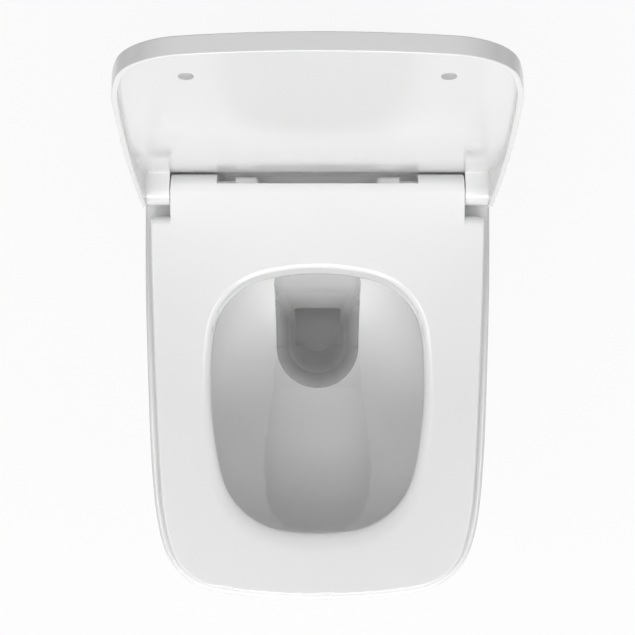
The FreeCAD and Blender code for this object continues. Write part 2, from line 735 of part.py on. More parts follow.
def shoulder_corner():
    """Corner that is taken off the right shoulder, so that its top runs round into its rear face."""
    ramp = ramp_radius()
    reach = SEAT_REAR + SHOULDER_ROUNDING
    apart = ramp + SHOULDER_ROUNDING - CROSSING
    height = SEAT_TOP + ramp - math.sqrt(apart ** 2 - (RAMP_REACH - reach) ** 2)
    middle = hinge_point(reach, height)
    touch = hinge_point(reach + SHOULDER_ROUNDING * (RAMP_REACH - reach) / apart, height)
    block = box(BARREL_END, WIDE, touch.y, touch.y + SPARE, touch.z, touch.z + SPARE)
    return block.cut(rod(SHOULDER_ROUNDING, middle, middle + V(2 * WIDE, 0, 0)))


def make_seat():
    """Seat ring with its ramp, hinge barrel, bay for the posts and bores for the dampers."""
    low_z = HINGE_Z - SPARE
    high_z = HINGE_Z + SPARE
    rear_y = HINGE_Y - SEAT_REAR
    outline = rim_plate(-SEAT_INSET, rear_y + SEAT_FORWARD, low_z, high_z)
    outline.translate(V(0, -SEAT_FORWARD, 0))
    outline = rounded(outline, SEAT_REAR_ROUNDING, lambda edge: is_rear_corner(edge, rear_y))
    neck = box(-BARREL_END, BARREL_END, rear_y - SPARE, HINGE_Y, low_z, high_z)
    blank = profile_bar(0.0, 0.0, FRONT_REACH + SPARE, SEAT_BOTTOM, -WIDE, WIDE)
    ring = blank.common(outline.fuse(neck)).removeSplitter()
    ring = rounded(ring, SEAT_EDGE_ROUNDING, is_on_top)
    ring = ring.cut([opening_cutter(low_z, high_z), both_sides(shoulder_corner())])
    barrel = rounded(hinge_rod(BARREL_R, -BARREL_END, BARREL_END), BARREL_END_ROUNDING, is_round_end)
    body = fused([ring, barrel])
    floor = SEAT_BOTTOM - SPARE
    bay = profile_bar(-BAY_WALL, -NOTCH_EDGE - 1, BAY_FRONT, floor, -NOTCH_HALF_WIDTH, NOTCH_HALF_WIDTH)
    notch = box(-NOTCH_HALF_WIDTH, NOTCH_HALF_WIDTH, HINGE_Y + NOTCH_EDGE, HINGE_Y + SPARE, low_z, high_z)
    pocket = profile_bar(-SEAT_WALL, 0.0, BAY_FRONT, floor, POCKET_INNER, POCKET_OUTER)
    pocket = pocket.common(slab(-PAN_LENGTH, HINGE_Y - POCKET_REAR, low_z, high_z))
    damper_bore = DAMPER_R + RUNNING
    bores = [
        hinge_rod(damper_bore, -LID_DAMPER_OUTER - END_PLAY, -NOTCH_HALF_WIDTH + 1),
        hinge_rod(SHAFT_R + SLIDE_CLEARANCE, -BARREL_END - 1, -LID_DAMPER_OUTER),
        hinge_rod(damper_bore, NOTCH_HALF_WIDTH - 1, SEAT_DAMPER_OUTER + END_PLAY),
        keyed_rod(SHAFT_R + FIXED, SHAFT_FLAT + FIXED, SEAT_DAMPER_OUTER, SEAT_KEY_END + END_PLAY),
        hinge_rod(PIN_R + RUNNING, PIN_START - END_PLAY, BARREL_END + 1),
    ]
    seatings = [both_sides(seat_buffer(place, SEAT_BUFFER_R + FIXED)) for place in SEAT_BUFFERS]
    return body.cut([bay, notch, both_sides(pocket)] + bores + seatings)


def is_rear_corner(edge, rear_y):
    """True for an upright edge on the plane at rear_y."""
    return is_upright(edge) and edge.BoundBox.YMax > rear_y - 1


def is_round_end(edge):
    """True for the circle at an end of a bar on the hinge line."""
    return edge.BoundBox.XLength < 0.1


def upright_buffer(bottom, radius, height):
    """Round buffer that stands on a point, with a chamfer round its lower end."""
    shape = rod(radius, bottom, bottom + V(0, 0, height))
    low_edges = [edge for edge in shape.Edges if edge.BoundBox.ZMax < bottom.z + 0.1]
    return shape.makeChamfer(BUFFER_CHAMFER, low_edges)


def seat_buffer(place, radius):
    """Buffer under the right half of the seat, or its seating when made wider."""
    across, reach = place
    bottom = V(across, HINGE_Y - reach, RIM_Z + BUFFER_GAP)
    return upright_buffer(bottom, radius, HINGE_Z + SEAT_BOTTOM + BUFFER_SEATING - bottom.z)


# Lid, drawn closed

def lid_buffer(radius):
    """Buffer under the right half of the lid, or its seating when made wider."""
    bottom = V(LID_BUFFER_X, HINGE_Y - LID_BUFFER_REACH, HINGE_Z + SEAT_TOP + BUFFER_GAP)
    return upright_buffer(bottom, radius, LID_GAP - BUFFER_GAP + BUFFER_SEATING)


def knuckle():
    """Right knuckle of the lid: round below the hinge line, and blended into the panel above it."""
    outer_x = PAN_HALF_WIDTH + LID_OUTSET - LID_SKIRT / 2
    eye = hinge_rod(KNUCKLE_R, KNUCKLE_START, outer_x)
    top = BARREL_R + LID_GAP
    bend = KNUCKLE_BLEND * (1 - math.sqrt(0.5))
    front_low = hinge_point(KNUCKLE_R, 0.0)
    blend_start = hinge_point(KNUCKLE_R, top - KNUCKLE_BLEND)
    blend_middle = hinge_point(KNUCKLE_R + bend, top - bend)
    blend_end = hinge_point(KNUCKLE_R + KNUCKLE_BLEND, top)
    corners = (blend_end, hinge_point(-LID_REAR, top), hinge_point(-LID_REAR, 0.0), front_low, blend_start)
    edges = [Part.makeLine(first, second) for first, second in zip(corners, corners[1:])]
    edges.append(Part.Arc(blend_start, blend_middle, blend_end).toShape())
    arm = Part.Face(Part.Wire(edges))
    arm.translate(V(KNUCKLE_START, 0, 0))
    return eye.fuse(arm.extrude(V(outer_x - KNUCKLE_START, 0, 0)))


def skirt_end_corner():
    """Corner that is taken off the rear lower end of both skirts to round it."""
    middle = hinge_point(-LID_REAR + SKIRT_END_ROUNDING, LID_RIM + SKIRT_END_ROUNDING)
    block = slab(middle.y, middle.y + SPARE, middle.z - SPARE, middle.z)
    return block.cut(rod(SKIRT_END_ROUNDING, middle + V(-WIDE, 0, 0), middle + V(WIDE, 0, 0)))


def is_over_skirt(edge):
    """True for an edge along the outline at the top of the lid, not for one that runs up or across."""
    limits = edge.BoundBox
    return limits.ZMin > HINGE_Z + LID_RIM + 1 and limits.YLength > 0.1


def is_lid_rim(edge):
    """True for an edge along the skirt's lower rim."""
    limits = edge.BoundBox
    return limits.ZMax < HINGE_Z + LID_RIM + 0.1 and limits.YLength > 0.1


def make_lid():
    """Tray lid whose skirt wraps over the seat, with its knuckles and their sockets."""
    low_z = HINGE_Z - SPARE
    high_z = HINGE_Z + SPARE
    rear_y = HINGE_Y + LID_REAR
    shell = profile_bar(LID_GAP + LID_PANEL, -LID_REAR, FRONT_REACH + SPARE, LID_RIM, -WIDE, WIDE)
    shell = shell.common(rim_plate(LID_OUTSET, rear_y, low_z, high_z)).removeSplitter()
    shell = rounded(shell, LID_EDGE_ROUNDING, is_over_skirt)
    tray = profile_bar(LID_GAP, -LID_REAR - 1, FRONT_REACH + SPARE, LID_RIM - 1, -WIDE, WIDE)
    tray = tray.common(rim_plate(LID_OUTSET - LID_SKIRT, rear_y + 2, low_z, high_z)).removeSplitter()
    tray = rounded(tray, LID_CORNER_ROUNDING, is_over_skirt)
    shell = rounded(shell.cut(tray), LID_RIM_ROUNDING, is_lid_rim)
    shell = shell.cut(skirt_end_corner())
    body = fused([shell, knuckle(), mirrored(knuckle())])
    socket = keyed_rod(SHAFT_R + FIXED, SHAFT_FLAT + FIXED, KNUCKLE_START - 1, SHAFT_END + END_PLAY)
    pin_hole = hinge_rod(PIN_R + FIXED, KNUCKLE_START - 1, SHAFT_END + END_PLAY)
    return body.cut([mirrored(socket), pin_hole, both_sides(lid_buffer(LID_BUFFER_R + FIXED))])


# Hinge posts, dampers, pin and studs, drawn on the right

def make_post():
    """Right hinge post: hub for the damper, base plate and housing of the stud."""
    stud_y = HINGE_Y - STUD_REACH
    front_y = stud_y - HOUSING_HALF_DEPTH
    rear_y = stud_y + HOUSING_HALF_DEPTH
    hub = hinge_rod(HUB_R, HUB_INNER, HUB_OUTER)
    hub = rounded(hub, HUB_ROUNDING, lambda edge: edge.BoundBox.XMax < HUB_INNER + 1)
    column = box(
        BASE_INNER + 1, HUB_OUTER, HINGE_Y - COLUMN_HALF_DEPTH, HINGE_Y + COLUMN_HALF_DEPTH,
        BASE_BOTTOM_Z, HINGE_Z,
    )
    base = box(BASE_INNER, BASE_OUTER, front_y, HINGE_Y + BASE_REAR, BASE_BOTTOM_Z, BASE_TOP_Z)
    base = rounded(base, BASE_ROUNDING, is_upright)
    housing = box(HOUSING_INNER, HOUSING_OUTER, front_y, rear_y, BASE_BOTTOM_Z, HOUSING_TOP_Z)
    housing = rounded(housing, HOUSING_ROUNDING, is_upright)
    post = fused([hub, column, base, housing])
    slot = box(
        BASE_INNER - SPARE, SPRING_END,
        stud_y - SLIDE_HALF_DEPTH - SLIDE_CLEARANCE, stud_y + SLIDE_HALF_DEPTH + SLIDE_CLEARANCE,
        SLIDE_BOTTOM_Z - SLIDE_CLEARANCE, SLIDE_TOP_Z + SLIDE_CLEARANCE,
    )
    flange_top_z = STUD_FLANGE_Z + STUD_FLANGE
    flange_room = stud_rod(STUD_FLANGE_R + SLIDE_CLEARANCE, RIM_Z - 1, flange_top_z + SLIDE_CLEARANCE)
    socket = stud_rod(STUD_R + RUNNING, RIM_Z - 1, STUD_TOP_Z + SLIDE_CLEARANCE)
    damper_bore = hinge_rod(DAMPER_R + FIXED, DAMPER_INNER, HUB_OUTER + 1)
    return post.cut([slot, flange_room, socket, damper_bore])


def is_upright(edge):
    """True for an edge that runs straight up."""
    limits = edge.BoundBox
    return limits.XLength < 0.1 and limits.YLength < 0.1


def make_damper(outer_end):
    """Right damper body: a tube closed at its inner end, with a chamber for the rotor."""
    body = hinge_rod(DAMPER_R, DAMPER_INNER, outer_end)
    chamber_end = outer_end - DAMPER_END_WALL
    chamber = hinge_rod(ROTOR_R + RUNNING, NOTCH_HALF_WIDTH - DAMPER_END_WALL, chamber_end)
    neck = hinge_rod(SHAFT_R + RUNNING, chamber_end - 1, outer_end + 1)
    return body.cut([chamber, neck])


def make_damper_shaft(outer_end, key_end):
    """Right damper shaft: rotor inside the body and a keyed end outside it."""
    rotor_end = outer_end - DAMPER_END_WALL - END_PLAY
    rotor = hinge_rod(ROTOR_R, NOTCH_HALF_WIDTH - DAMPER_END_WALL + END_PLAY, rotor_end)
    neck = hinge_rod(SHAFT_R, rotor_end, outer_end + END_PLAY)
    key = keyed_rod(SHAFT_R, SHAFT_FLAT, outer_end, key_end)
    return fused([rotor, neck, key])


def make_stud():
    """Right hinge stud: plain pin above the deck, flange and threaded shank below."""
    pin = stud_rod(STUD_R, STUD_FLANGE_Z, STUD_TOP_Z)
    top_edges = [edge for edge in pin.Edges if edge.BoundBox.ZMin > STUD_TOP_Z - 0.1]
    pin = pin.makeChamfer(STUD_CHAMFER, top_edges)
    flange = stud_rod(STUD_FLANGE_R, STUD_FLANGE_Z, STUD_FLANGE_Z + STUD_FLANGE)
    shank = stud_rod(STUD_THREAD_R, STUD_BOTTOM_Z, STUD_FLANGE_Z)
    return fused([pin, flange, shank])


def make_stud_ring(radius, z0, z1):
    """Plain ring around the shank of the right stud."""
    return stud_rod(radius, z0, z1).cut(stud_rod(STUD_THREAD_R + FIXED, z0 - 1, z1 + 1))


def make_stud_nut():
    """Hexagon nut of the right stud."""
    bottom_z = SLEEVE_BOTTOM_Z - NUT_HEIGHT
    corners = []
    for index in range(7):
        angle = math.pi * index / 3
        corners.append(V(
            POST_X + NUT_R * math.cos(angle),
            HINGE_Y - STUD_REACH + NUT_R * math.sin(angle),
            bottom_z,
        ))
    prism = Part.Face(Part.makePolygon(corners)).extrude(V(0, 0, NUT_HEIGHT))
    return prism.cut(stud_rod(STUD_THREAD_R + FIXED, bottom_z - 1, SLEEVE_BOTTOM_Z + 1))


# Quick release, drawn on the right

def is_button_corner(edge):
    """True for an upright edge at the tip of the button."""
    return is_upright(edge) and edge.BoundBox.XMax < BUTTON_TIP + 1


def make_release():
    """Right release slide: it grips the stud with the end of its slot and ends in a button."""
    stud_y = HINGE_Y - STUD_REACH
    near_y = stud_y - SLIDE_HALF_DEPTH
    far_y = stud_y + SLIDE_HALF_DEPTH
    slide = box(BUTTON_TIP, SLIDE_OUTER, near_y, far_y, SLIDE_BOTTOM_Z, SLIDE_TOP_Z)
    slide = rounded(slide, BUTTON_ROUNDING, is_button_corner)
    grip = stud_rod(STUD_R + RUNNING, SLIDE_BOTTOM_Z - 1, SLIDE_TOP_Z + 1)
    free = grip.translated(V(-RELEASE_TRAVEL, 0, 0))
    width = STUD_R + RUNNING
    between = box(
        POST_X - RELEASE_TRAVEL, POST_X, stud_y - width, stud_y + width,
        SLIDE_BOTTOM_Z - 1, SLIDE_TOP_Z + 1,
    )
    return slide.cut([grip, free, between])


def make_release_spring():
    """Right release spring: a bowed strip between the slide and the end of its slot."""
    stud_y = HINGE_Y - STUD_REACH
    z = SLIDE_BOTTOM_Z + 1
    crown_x = SLIDE_OUTER + RUNNING
    ends_x = SPRING_END - RUNNING - SPRING_STRIP

    def bow(shift):
        points = [(ends_x, -SPRING_HALF_LENGTH), (crown_x, 0), (ends_x, SPRING_HALF_LENGTH)]
        return [V(x + shift, stud_y + along, z) for x, along in points]

    inner = bow(0.0)
    outer = bow(SPRING_STRIP)
    wire = Part.Wire([
        Part.Arc(*inner).toShape(),
        Part.makeLine(inner[2], outer[2]),
        Part.Arc(outer[2], outer[1], outer[0]).toShape(),
        Part.makeLine(outer[0], inner[0]),
    ])
    return Part.Face(wire).extrude(V(0, 0, SLIDE_TOP_Z - SLIDE_BOTTOM_Z - 2))


def make_nodes():
    """Every piece under the name of its node."""
    post = make_post()
    release = make_release()
    spring = make_release_spring()
    seat_buffers = [both_sides(seat_buffer(place, SEAT_BUFFER_R)) for place in SEAT_BUFFERS]
    return {
        "pan": make_pan(),
        "wall_bushes": both_sides(make_wall_bush()),
        "hinge_studs": both_sides(make_stud()),
        "stud_pads": both_sides(make_stud_ring(STUD_PAD_R, RIM_Z, STUD_FLANGE_Z)),
        "stud_sleeves": both_sides(make_stud_ring(SLEEVE_R, SLEEVE_BOTTOM_Z, RIM_Z)),
        "stud_nuts": both_sides(make_stud_nut()),
        "hinge_post_right": post,
        "hinge_post_left": mirrored(post),
        "release_right": release,
        "release_left": mirrored(release),
        "release_spring_right": spring,
        "release_spring_left": mirrored(spring),
        "seat_damper_body": make_damper(SEAT_DAMPER_OUTER),
        "seat_damper_shaft": make_damper_shaft(SEAT_DAMPER_OUTER, SEAT_KEY_END),
        "lid_damper_body": mirrored(make_damper(LID_DAMPER_OUTER)),
        "lid_damper_shaft": opened(mirrored(make_damper_shaft(LID_DAMPER_OUTER, SHAFT_END))),
        "lid_pivot_pin": hinge_rod(PIN_R, PIN_START, SHAFT_END),
        "seat": make_seat(),
        "seat_bumpers": Part.makeCompound(seat_buffers),
        "lid": opened(make_lid()),
        "lid_bumpers": opened(both_sides(lid_buffer(LID_BUFFER_R))),
    }


def main():
    """Write one file for each node."""
    os.makedirs("parts", exist_ok=True)
    for name, shape in make_nodes().items():
        shape.exportStep("parts/" + name + ".step")


main()
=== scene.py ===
"""Looks of a wall hung toilet with a soft close seat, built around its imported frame.

Lengths are metres in the part's own frame: X runs across, Y runs into the wall and Z runs up.
"""

import json
import logging
import math
from dataclasses import dataclass, field
from enum import Enum

import bmesh
import bpy
import numpy as np
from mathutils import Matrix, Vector

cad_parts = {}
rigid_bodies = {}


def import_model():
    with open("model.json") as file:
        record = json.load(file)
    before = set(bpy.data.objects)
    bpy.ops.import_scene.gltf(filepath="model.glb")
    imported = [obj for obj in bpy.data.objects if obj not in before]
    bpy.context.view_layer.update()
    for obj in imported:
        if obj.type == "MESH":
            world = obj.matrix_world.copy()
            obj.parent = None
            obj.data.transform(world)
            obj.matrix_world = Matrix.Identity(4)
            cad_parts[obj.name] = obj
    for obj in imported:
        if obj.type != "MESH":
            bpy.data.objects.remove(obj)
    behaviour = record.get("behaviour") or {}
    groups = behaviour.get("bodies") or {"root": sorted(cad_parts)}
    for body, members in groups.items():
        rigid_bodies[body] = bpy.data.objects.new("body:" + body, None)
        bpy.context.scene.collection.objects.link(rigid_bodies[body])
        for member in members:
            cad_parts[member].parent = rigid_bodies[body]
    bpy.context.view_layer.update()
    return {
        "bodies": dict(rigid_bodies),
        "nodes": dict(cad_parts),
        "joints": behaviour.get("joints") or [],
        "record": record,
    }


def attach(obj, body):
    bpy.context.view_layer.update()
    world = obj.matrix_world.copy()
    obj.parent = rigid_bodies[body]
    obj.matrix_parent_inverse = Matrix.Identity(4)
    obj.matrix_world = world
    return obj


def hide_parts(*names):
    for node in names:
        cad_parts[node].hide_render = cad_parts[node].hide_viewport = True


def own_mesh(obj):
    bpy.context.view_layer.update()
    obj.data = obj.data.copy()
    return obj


LOG = logging.getLogger("wall_hung_toilet")

Colour = tuple[float, float, float]
Point = tuple[float, float, float]

# Sign of X on each side of the object.
SIDES = {"right": 1.0, "left": -1.0}


class Slot(Enum):
    """Material slots of the part's record."""

    CHINA = "china"
    DUROPLAST = "duroplast"
    BUFFER = "buffer"
    HINGE_PLASTIC = "hinge_plastic"
    RELEASE_PLASTIC = "release_plastic"
    DAMPER_PLASTIC = "damper_plastic"
    STEEL = "steel"
    NYLON = "nylon"
    RUBBER = "rubber"


class Relief(Enum):
    """Kinds of fine relief that a surface can show."""

    PEEL = "peel"
    TURNED = "turned"


class NodeGraph:
    """A node tree with short calls for adding and joining its nodes."""

    def __init__(self, tree: bpy.types.NodeTree) -> None:
        """Keep the tree that the nodes go into."""
        self.tree = tree

    def add(self, kind: str, **settings: object) -> bpy.types.Node:
        """Add one node.

        Args:
            kind: Blender's identifier of the node type.
            settings: Properties of the node, by name.

        Returns:
            The new node.
        """
        node = self.tree.nodes.new(kind)
        for name, value in settings.items():
            setattr(node, name, value)
        return node

    def join(self, source: bpy.types.NodeSocket, target: bpy.types.NodeSocket) -> None:
        """Link an output to an input."""
        self.tree.links.new(source, target)

    def feed(self, target: bpy.types.NodeSocket, value: object) -> None:
        """Link an input to a socket, or set it to a plain value."""
        if isinstance(value, bpy.types.NodeSocket):
            self.join(value, target)
        else:
            target.default_value = value

    def maths(self, operation: str, first: object, second: object) -> bpy.types.NodeSocket:
        """Add a Math node on two sockets or numbers.

        Args:
            operation: Name of the Math node's operation.
            first: A socket or a number.
            second: A socket or a number.

        Returns:
            The socket with the result.
        """
        node = self.add("ShaderNodeMath", operation=operation)
        self.feed(node.inputs[0], first)
        self.feed(node.inputs[1], second)
        return node.outputs[0]

    def noise(
        self, place: bpy.types.NodeSocket, scale: bpy.types.NodeSocket, detail: float
    ) -> bpy.types.NodeSocket:
        """Add a Noise node.

        Args:
            place: Socket with the coordinates.
            scale: Socket with the scale.
            detail: Number of finer layers in the noise.

        Returns:
            The socket with the noise.
        """
        node = self.add("ShaderNodeTexNoise")
        node.inputs["Detail"].default_value = detail
        self.join(place, node.inputs["Vector"])
        self.join(scale, node.inputs["Scale"])
        return node.outputs["Fac"]

    def spread(self, value: bpy.types.NodeSocket, low: float, high: float) -> bpy.types.Node:
        """Add a Map Range node that stretches a value from between two limits.

        Args:
            value: The socket to stretch.
            low: Value that becomes the new range's start.
            high: Value that becomes the new range's end.

        Returns:
            The node, whose new range runs from nothing to one unless its inputs are fed.
        """
        node = self.add("ShaderNodeMapRange")
        node.inputs["From Min"].default_value = low
        node.inputs["From Max"].default_value = high
        self.join(value, node.inputs["Value"])
        return node


class EffectGroup:
    """Base of the shader node groups that several materials share."""

    name = "effect"
    inputs: tuple[tuple[str, str], ...] = ()
    outputs: tuple[tuple[str, str], ...] = ()

    def tree(self) -> bpy.types.NodeTree:
        """Return the group's node tree, made the first time that it is asked for."""
        found = bpy.data.node_groups.get(self.name)
        if found is not None:
            return found
        tree = bpy.data.node_groups.new(self.name, "ShaderNodeTree")
        for label, kind in self.inputs:
            tree.interface.new_socket(label, in_out="INPUT", socket_type=kind)
        for label, kind in self.outputs:
            tree.interface.new_socket(label, in_out="OUTPUT", socket_type=kind)
        graph = NodeGraph(tree)
        self.fill(graph, graph.add("NodeGroupInput"), graph.add("NodeGroupOutput"))
        return tree

    def fill(self, graph: NodeGraph, source: bpy.types.Node, target: bpy.types.Node) -> None:
        """Add the group's own nodes between its input node and its output node."""
        raise NotImplementedError

    def place(self, graph: NodeGraph, **values: object) -> bpy.types.Node:
        """Put the group into a material.

        Args:
            graph: The material's nodes.
            values: Value or socket of each input, with spaces written as underscores.

        Returns:
            The group node.
        """
        node = graph.add("ShaderNodeGroup", node_tree=self.tree())
        for label, value in values.items():
            graph.feed(node.inputs[label.replace("_", " ")], value)
        return node


class ToneDrift(EffectGroup):
    """Slow drift of the colour between two near tones, as fired glaze and pressed resin have."""

    name = "tone_drift"
    inputs = (
        ("Place", "NodeSocketVector"),
        ("Scale", "NodeSocketFloat"),
        ("Tone", "NodeSocketColor"),
        ("Other Tone", "NodeSocketColor"),
    )
    outputs = (("Color", "NodeSocketColor"),)
    detail = 3.0
    low = 0.3
    high = 0.7

    def fill(self, graph: NodeGraph, source: bpy.types.Node, target: bpy.types.Node) -> None:
        """Noise of the given scale, stretched to full contrast, mixes the two tones."""
        noise = graph.noise(source.outputs["Place"], source.outputs["Scale"], self.detail)
        share = graph.spread(noise, self.low, self.high)
        mix = graph.add("ShaderNodeMix", data_type="RGBA")
        graph.join(share.outputs["Result"], mix.inputs["Factor"])
        graph.join(source.outputs["Tone"], mix.inputs["A"])
        graph.join(source.outputs["Other Tone"], mix.inputs["B"])
        graph.join(mix.outputs["Result"], target.inputs["Color"])


class PeelRelief(EffectGroup):
    """Very shallow waves of a fired glaze or a moulded skin, with a finer ripple on them."""

    name = "peel_relief"
    inputs = (("Place", "NodeSocketVector"), ("Scale", "NodeSocketFloat"))
    outputs = (("Height", "NodeSocketFloat"),)
    detail = 2.0
    ripple_scale = 4.0
    ripple_height = 0.25

    def fill(self, graph: NodeGraph, source: bpy.types.Node, target: bpy.types.Node) -> None:
        """Height is coarse noise plus a part of a noise that is several times finer."""
        place, scale = source.outputs["Place"], source.outputs["Scale"]
        coarse = graph.noise(place, scale, self.detail)
        fine = graph.noise(place, graph.maths("MULTIPLY", scale, self.ripple_scale), self.detail)
        ripple = graph.maths("MULTIPLY", fine, self.ripple_height)
        graph.join(graph.maths("ADD", coarse, ripple), target.inputs["Height"])


class TurnedRelief(EffectGroup):
    """Fine rings left by turning, level along the height of the piece."""

    name = "turned_relief"
    inputs = (("Place", "NodeSocketVector"), ("Scale", "NodeSocketFloat"))
    outputs = (("Height", "NodeSocketFloat"),)
    distortion = 1.5

    def fill(self, graph: NodeGraph, source: bpy.types.Node, target: bpy.types.Node) -> None:
        """Height is a wave along Z, broken up by a little distortion."""
        wave = graph.add("ShaderNodeTexWave", wave_type="BANDS", bands_direction="Z")
        wave.inputs["Distortion"].default_value = self.distortion
        graph.join(source.outputs["Place"], wave.inputs["Vector"])
        graph.join(source.outputs["Scale"], wave.inputs["Scale"])
        graph.join(wave.outputs["Fac"], target.inputs["Height"])


class WornGloss(EffectGroup):
    """Roughness that wanders between a clean and a handled value."""

    name = "worn_gloss"
    inputs = (
        ("Place", "NodeSocketVector"),
        ("Scale", "NodeSocketFloat"),
        ("Clean", "NodeSocketFloat"),
        ("Handled", "NodeSocketFloat"),
    )
    outputs = (("Roughness", "NodeSocketFloat"),)
    detail = 4.0
    low = 0.35
    high = 0.65

    def fill(self, graph: NodeGraph, source: bpy.types.Node, target: bpy.types.Node) -> None:
        """Noise moves the roughness from clean to handled."""
        noise = graph.noise(source.outputs["Place"], source.outputs["Scale"], self.detail)
        wear = graph.spread(noise, self.low, self.high)
        graph.join(source.outputs["Clean"], wear.inputs["To Min"])
        graph.join(source.outputs["Handled"], wear.inputs["To Max"])
        graph.join(wear.outputs["Result"], target.inputs["Roughness"])


RELIEFS: dict[Relief, EffectGroup] = {Relief.PEEL: PeelRelief(), Relief.TURNED: TurnedRelief()}


@dataclass(frozen=True)
class Finish:
    """One surface finish with the small irregularities that it shows."""

    slot: Slot
    tone: Colour
    other_tone: Colour
    clean: float
    handled: float
    drift_scale: float
    relief_scale: float
    relief_height: float
    relief: Relief = Relief.PEEL
    coat: float = 0.0
    coat_roughness: float = 0.03
    metallic: float = 0.0
    wear_per_drift: float = 2.0

    def material(self) -> bpy.types.Material:
        """Return the finish as a procedural material, made the first time that it is asked for."""
        name = "finish_" + self.slot.value
        found = bpy.data.materials.get(name)
        if found is not None:
            return found
        material = bpy.data.materials.new(name)
        material.use_nodes = True
        graph = NodeGraph(material.node_tree)
        shader = material.node_tree.nodes["Principled BSDF"]
        shader.inputs["Metallic"].default_value = self.metallic
        shader.inputs["Coat Weight"].default_value = self.coat
        shader.inputs["Coat Roughness"].default_value = self.coat_roughness
        place = graph.add("ShaderNodeTexCoord").outputs["Object"]
        tone = ToneDrift().place(
            graph,
            Place=place,
            Scale=self.drift_scale,
            Tone=(*self.tone, 1.0),
            Other_Tone=(*self.other_tone, 1.0),
        )
        gloss = WornGloss().place(
            graph,
            Place=place,
            Scale=self.drift_scale * self.wear_per_drift,
            Clean=self.clean,
            Handled=self.handled,
        )
        relief = RELIEFS[self.relief].place(graph, Place=place, Scale=self.relief_scale)
        bump = graph.add("ShaderNodeBump")
        bump.inputs["Strength"].default_value = 1.0
        bump.inputs["Distance"].default_value = self.relief_height
        graph.join(tone.outputs["Color"], shader.inputs["Base Color"])
        graph.join(gloss.outputs["Roughness"], shader.inputs["Roughness"])
        graph.join(relief.outputs["Height"], bump.inputs["Height"])
        graph.join(bump.outputs["Normal"], shader.inputs["Normal"])
        return material


def grey(level: float) -> Colour:
    """Return a colour without any hue."""
    return (level, level, level)


FINISHES: dict[Slot, Finish] = {
    finish.slot: finish
    for finish in (
        Finish(
            Slot.CHINA, tone=grey(0.84), other_tone=grey(0.82), clean=0.06, handled=0.1,
            drift_scale=9.0, relief_scale=25.0, relief_height=6e-5, coat=0.3,
        ),
        Finish(
            Slot.DUROPLAST, tone=grey(0.80), other_tone=grey(0.785), clean=0.14, handled=0.2,
            drift_scale=7.0, relief_scale=40.0, relief_height=3e-5,
        ),
        Finish(
            Slot.BUFFER, tone=grey(0.44), other_tone=grey(0.41), clean=0.45, handled=0.6,
            drift_scale=60.0, relief_scale=500.0, relief_height=4e-5,
        ),
        Finish(
            Slot.HINGE_PLASTIC, tone=grey(0.80), other_tone=grey(0.77), clean=0.3, handled=0.4,
            drift_scale=40.0, relief_scale=700.0, relief_height=2e-5,
        ),
        Finish(
            Slot.RELEASE_PLASTIC, tone=(0.55, 0.56, 0.57), other_tone=(0.5, 0.51, 0.52),
            clean=0.32, handled=0.42, drift_scale=50.0, relief_scale=700.0, relief_height=2e-5,
        ),
        Finish(
            Slot.DAMPER_PLASTIC, tone=grey(0.76), other_tone=grey(0.73), clean=0.35, handled=0.45,
            drift_scale=50.0, relief_scale=700.0, relief_height=2e-5,
        ),
        Finish(
            Slot.STEEL, tone=(0.56, 0.56, 0.55), other_tone=grey(0.5), clean=0.22, handled=0.36,
            drift_scale=80.0, relief_scale=900.0, relief_height=3e-5, relief=Relief.TURNED, metallic=1.0,
        ),
        Finish(
            Slot.NYLON, tone=(0.70, 0.69, 0.66), other_tone=(0.66, 0.65, 0.62), clean=0.4, handled=0.5,
            drift_scale=60.0, relief_scale=600.0, relief_height=3e-5,
        ),
        Finish(
            Slot.RUBBER, tone=grey(0.05), other_tone=grey(0.035), clean=0.6, handled=0.75,
            drift_scale=60.0, relief_scale=900.0, relief_height=5e-5,
        ),
    )
}


def ring_faces(rows: int, columns: int, looped: bool) -> np.ndarray:
    """Join the points of a grid into quads, with its columns closed into rings.

    Args:
        rows: Number of rings.
        columns: Number of points in each ring.
        looped: True where the last ring also joins the first.

    Returns:
        Four point numbers for every quad.
    """
    ring = np.arange(columns)
    row = np.arange(rows if looped else rows - 1)[:, None]
    following = (row + 1) % rows
    beside = (ring + 1) % columns
    near, far = row * columns, following * columns
    corners = np.broadcast_arrays(near + ring, near + beside, far + beside, far + ring)
    return np.stack(corners, axis=-1).reshape(-1, 4)


def ring_angles(columns: int) -> np.ndarray:
    """Return the angles of the points of one ring, evenly spaced over a whole turn."""
    return np.linspace(0.0, 2.0 * np.pi, columns, endpoint=False)


def ring_points(radius: np.ndarray, height: np.ndarray, columns: int) -> np.ndarray:
    """Lay rings round the Z axis: x is r cos a, y is r sin a and z is h.

    Args:
        radius: Radius r of each row, or of each point of each row.
        height: Height h of each row.
        columns: Number of steps of the angle a.

    Returns:
        The grid of points, one ring for each row.
    """
    angle = ring_angles(columns)
    points = np.broadcast_arrays(radius * np.cos(angle), radius * np.sin(angle), height)
    return np.stack(points, axis=-1)


def turned(profile: np.ndarray, columns: int) -> np.ndarray:
    """Carry a profile, rows of radius and height, once round the Z axis in a number of steps."""
    radius, height = profile.T[:, :, None]
    return ring_points(radius, height, columns)


